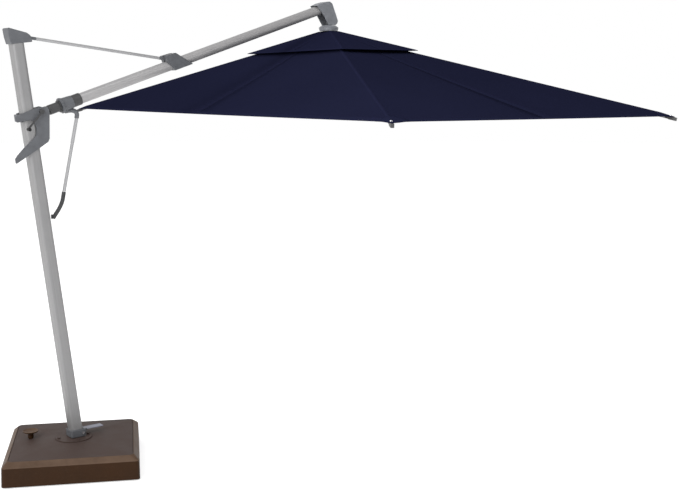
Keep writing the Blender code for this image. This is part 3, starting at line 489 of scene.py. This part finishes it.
def kite(name, rib, inner, outer, rise, material):
    """The cloth over one rib: out to the middle of the canopy's two nearest sides."""
    shares = [inner + (outer - inner) * step for step in spread(KITE_ROWS)]
    aside = spread(KITE_COLUMNS, 1.7)
    across = [-step for step in reversed(aside[1:])] + aside
    points = []
    for share in shares:
        for turn in across:
            x = HALF_X * share * (1 - max(turn, 0))
            y = HALF_Y * share * (1 - max(-turn, 0))
            points.append(cloth_point(rib, x, y, outer, rise))
    return cloth_sheet(name, points, len(shares), len(across), material, CLOTH)


def swept_strip(name, rib, rings, material, outer, rise):
    """A closed band: each ring is a list of (x, y, lift) round its cross-section."""
    points = [cloth_point(rib, x, y, outer, rise, lift) for ring in rings for x, y, lift in ring]
    size = len(rings[0])
    faces = ring_faces(len(rings), size)
    faces.append(tuple(range(size)))
    faces.append(tuple(range((len(rings) - 1) * size, len(rings) * size)))
    made = mesh_object(name, points, faces, material)
    made.data.set_sharp_from_angle(angle=math.radians(50))
    return made


def lay_tape_map(obj, along, across):
    """U is how far along the tape a corner lies, V how far across it, by two functions of its place."""
    layer = obj.data.uv_layers.new(name="tape")
    for loop in obj.data.loops:
        place = obj.data.vertices[loop.vertex_index].co
        layer.data[loop.index].uv = (along(place), across(place))


def hem(name, rib, outer, width, rise, material):
    """A folded hem along both edges of a kite, rounding the corner between them."""
    edge_x, edge_y = HALF_X * outer, HALF_Y * outer
    over, under, nose = 0.0009, -0.0030, 0.0016
    profile = ((0, over - 0.0007), (0.10, over), (0.93, over), (1.0, over - 0.0006), (1.0, -0.0019),
               (0.93, under), (0.10, under), (0, under + 0.0007))
    rings = []
    for step in spread(HEM_STEPS):
        y = edge_y * step
        rings.append([(edge_x - width * (1 - v) + nose * (v == 1.0), min(y, edge_y - width * (1 - v)), lift)
                      for v, lift in profile])
    for step in spread(HEM_STEPS)[1:]:
        x = edge_x * (1 - step)
        rings.append([(min(x, edge_x - width * (1 - v)), edge_y - width * (1 - v) + nose * (v == 1.0), lift)
                      for v, lift in profile])
    made = swept_strip(name, rib, rings, material, outer, rise)

    def along(place):
        x, y = from_hub(place)
        return y if edge_x - x < edge_y - y else edge_y + edge_x - x

    def across(place):
        x, y = from_hub(place)
        return 1 - min(edge_x - x, edge_y - y) / width

    lay_tape_map(made, along, across)
    return made


def ridge_seam(name, rib, start, end, outer, rise, material):
    """The felled seam over a rib, with its two rows of stitches."""
    length = math.hypot(HALF_X, HALF_Y)
    side_x, side_y = -HALF_Y / length, HALF_X / length
    half = SEAM_WIDTH / 2
    profile = ((-1, 0.0002), (-0.94, 0.0009), (-0.3, 0.0011), (0, 0.0011), (0.3, 0.0011), (0.94, 0.0009),
               (1, 0.0002), (0.94, -0.0012), (-0.94, -0.0012))
    rings = []
    for step in spread(SEAM_STEPS):
        share = start + (end - start) * step
        rings.append([(HALF_X * share + side_x * half * v, HALF_Y * share + side_y * half * v, lift)
                      for v, lift in profile])
    made = swept_strip(name, rib, rings, material, outer, rise)

    def across(place):
        x, y = from_hub(place)
        return 0.5 + (x * side_x + y * side_y) / half / 2

    def along(place):
        x, y = from_hub(place)
        return (x * HALF_X + y * HALF_Y) / length

    lay_tape_map(made, along, across)
    return made


def corner_patch(name, rib, material):
    """A doubled corner: a rounded quarter of cloth sewn over the tip."""
    rows, columns = 7, 12
    points = []
    for row in spread(rows - 1):
        for step in spread(columns - 1):
            angle = step * math.pi / 2
            radius = PATCH_REACH * row
            x = HALF_X - 0.001 - radius * math.cos(angle)
            y = HALF_Y - 0.001 - radius * math.sin(angle)
            points.append(cloth_point(rib, x, y, 1.0, 0, 0.0018))
    made = cloth_sheet(name, points, rows, columns, material, 0.0012)

    def along(place):
        x, y = from_hub(place)
        return math.atan2(HALF_Y - y, HALF_X - x) * PATCH_REACH

    def across(place):
        x, y = from_hub(place)
        return math.hypot(HALF_X - x, HALF_Y - y) / PATCH_REACH

    lay_tape_map(made, along, across)
    return made


def turned_piece(name, profile, place, material, steps):
    """A profile of (radius, height) turned about an upright axis through a place."""
    points = []
    for radius, height in profile:
        for i in range(steps):
            angle = 2 * math.pi * i / steps
            points.append(place + Vector((radius * math.cos(angle), radius * math.sin(angle), height)))
    made = mesh_object(name, points, ring_faces(len(profile), steps), material, close=True)
    made.data.set_sharp_from_angle(angle=math.radians(35))
    return made


def fold_with(piece, rib):
    """The piece rides its rib."""
    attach(piece, f"rib_{rib}")
    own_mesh(piece)


def make_canopy():
    cloth = woven("canopy_navy", NAVY)
    hem_tape = stitched("hem_navy", NAVY, (0.12, 0.24))
    seam_tape = stitched("seam_navy", NAVY, (0.15, 0.85))
    patch_cloth = stitched("patch_navy", NAVY, (0.94,))
    snap = plain_metal("snap_white", (0.86, 0.86, 0.88), 0.22)
    slope = math.hypot(HALF_X, HALF_Y)
    for rib in RIBS:
        main = kite(f"canopy_main_{rib}", rib, MAIN_INNER, 1.0, 0.0, cloth)
        vent = kite(f"canopy_vent_{rib}", rib, VENT_INNER, VENT_OUTER, VENT_RISE, cloth)
        main_hem = hem(f"canopy_hem_{rib}", rib, 1.0, HEM_WIDTH, 0.0, hem_tape)
        vent_hem = hem(f"vent_hem_{rib}", rib, VENT_OUTER, VENT_HEM_WIDTH, VENT_RISE, hem_tape)
        seam = ridge_seam(f"canopy_seam_{rib}", rib, MAIN_INNER, 0.985, 1.0, 0.0, seam_tape)
        vent_seam = ridge_seam(f"vent_seam_{rib}", rib, VENT_INNER + 0.004, VENT_OUTER - 0.006, VENT_OUTER,
                               VENT_RISE, seam_tape)
        patch = corner_patch(f"corner_patch_{rib}", rib, patch_cloth)
        back = 0.024 / slope
        at = cloth_point(rib, HALF_X * (1 - back), HALF_Y * (1 - back), 1.0, 0, 0.0016)
        rivet = turned_piece(
            f"corner_snap_{rib}",
            [(0.0075, -0.001), (0.0075, 0.0006), (0.0068, 0.0018), (0.0045, 0.0030), (0.0, 0.0034)],
            at, snap, 24,
        )
        cloth_pieces = (main, vent, main_hem, vent_hem, seam, vent_seam, patch)
        for piece in cloth_pieces:
            fold_with(piece, rib)
        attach(rivet, f"rib_{rib}")
        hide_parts(f"canopy_panel_{rib}")


def make_cap_skirt():
    """A ring under the top cap that covers the opening at the canopy's apex."""
    cap_low = Vector(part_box("top_cap")[0]).z
    profile = [(0.0640, -0.0005), (0.0650, -0.0060), (0.0600, -0.0185), (0.0560, -0.0185), (0.0600, -0.0060),
               (0.0590, -0.0005)]
    # the skirt takes the head's painted-light grey, about twice the casting grey
    skirt = turned_piece("cap_skirt", profile + profile[:1], Vector((HUB_X, 0, cap_low)),
                         powder_coat("skirt_grey_painted_lit", scaled(GREY, 2.2)), 40)
    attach(skirt, "arm")


# ---- Stage, light and camera --------------------------------------------------------------------
def area_light(name, place, target, size, power):
    data = bpy.data.lights.new(name, "AREA")
    data.size = size
    data.energy = power
    made = bpy.data.objects.new(name, data)
    made.location = place
    made.rotation_mode = "QUATERNION"
    made.rotation_quaternion = (Vector(target) - Vector(place)).to_track_quat("-Z", "Y")
    bpy.context.scene.collection.objects.link(made)


HALL_LEFT, HALL_RIGHT = 0.85, 0.38  # brightness of the surroundings on either side of the viewer


def make_stage():
    """A pale floor under a white backdrop, in a hall that is brighter on the left."""
    shape = bmesh.new()
    bmesh.ops.create_circle(shape, cap_ends=True, segments=96, radius=40)
    mesh = bpy.data.meshes.new("floor")
    shape.to_mesh(mesh)
    shape.free()
    floor = bpy.data.objects.new("floor", mesh)
    bpy.context.scene.collection.objects.link(floor)
    pale, tree, shader = new_material("pale_floor", 1.0, 0.0, 0.0)
    shader.inputs["Base Color"].default_value = (0.90, 0.90, 0.90, 1)
    shader.inputs["Emission Color"].default_value = (1, 1, 1, 1)
    shader.inputs["Emission Strength"].default_value = 0.60
    mesh.materials.append(pale)

    world = bpy.data.worlds.new("studio")
    bpy.context.scene.world = world
    world.use_nodes = True
    tree = world.node_tree
    way = add(tree, "TexCoord").outputs["Generated"]
    ahead = add(tree, "VectorMath", {0: way, 1: (0.61, 0.79, 0.0)}, operation="DOT_PRODUCT").outputs["Value"]
    aside = add(tree, "VectorMath", {0: way, 1: (0.79, -0.61, 0.0)}, operation="DOT_PRODUCT").outputs["Value"]
    backdrop = levels(tree, ahead, 0.0, 1.0, 0.55, 0.80)
    hall = levels(tree, aside, HALL_LEFT, HALL_RIGHT, -0.7, 0.7)
    glow = math_node(tree, "MAXIMUM", backdrop, hall)
    tree.links.new(glow, tree.nodes["Background"].inputs["Strength"])
    tree.nodes["Background"].inputs["Color"].default_value = (1, 1, 1, 1)
    area_light("key", (-5.5, -3.5, 5.0), (0.3, 0.0, 1.4), 3.5, 300)
    area_light("overhead", (-0.2, -2.6, 6.2), (1.0, 0.0, 2.4), 2.2, 60)
    area_light("head_fill", (3.0, -5.5, 3.6), (1.9, 0.0, 2.7), 1.8, 22)
    area_light("low_fill", (-0.8, -5.5, 2.0), (1.2, 0.0, 2.5), 1.6, 14)


def make_camera():
    data = bpy.data.cameras.new("camera")
    data.sensor_width = 36
    data.lens = 57.8
    made = bpy.data.objects.new("camera", data)
    made.location = (-2.587, -5.972, 2.23)
    heading, down = math.radians(37.6), math.radians(8.2)
    made.rotation_euler = (math.pi / 2 - down, 0, -heading)
    bpy.context.scene.collection.objects.link(made)
    bpy.context.scene.camera = made


bpy.context.scene.view_settings.view_transform = "Standard"
finish_nodes()
make_canopy()
make_cap_skirt()
make_stage()
make_camera()
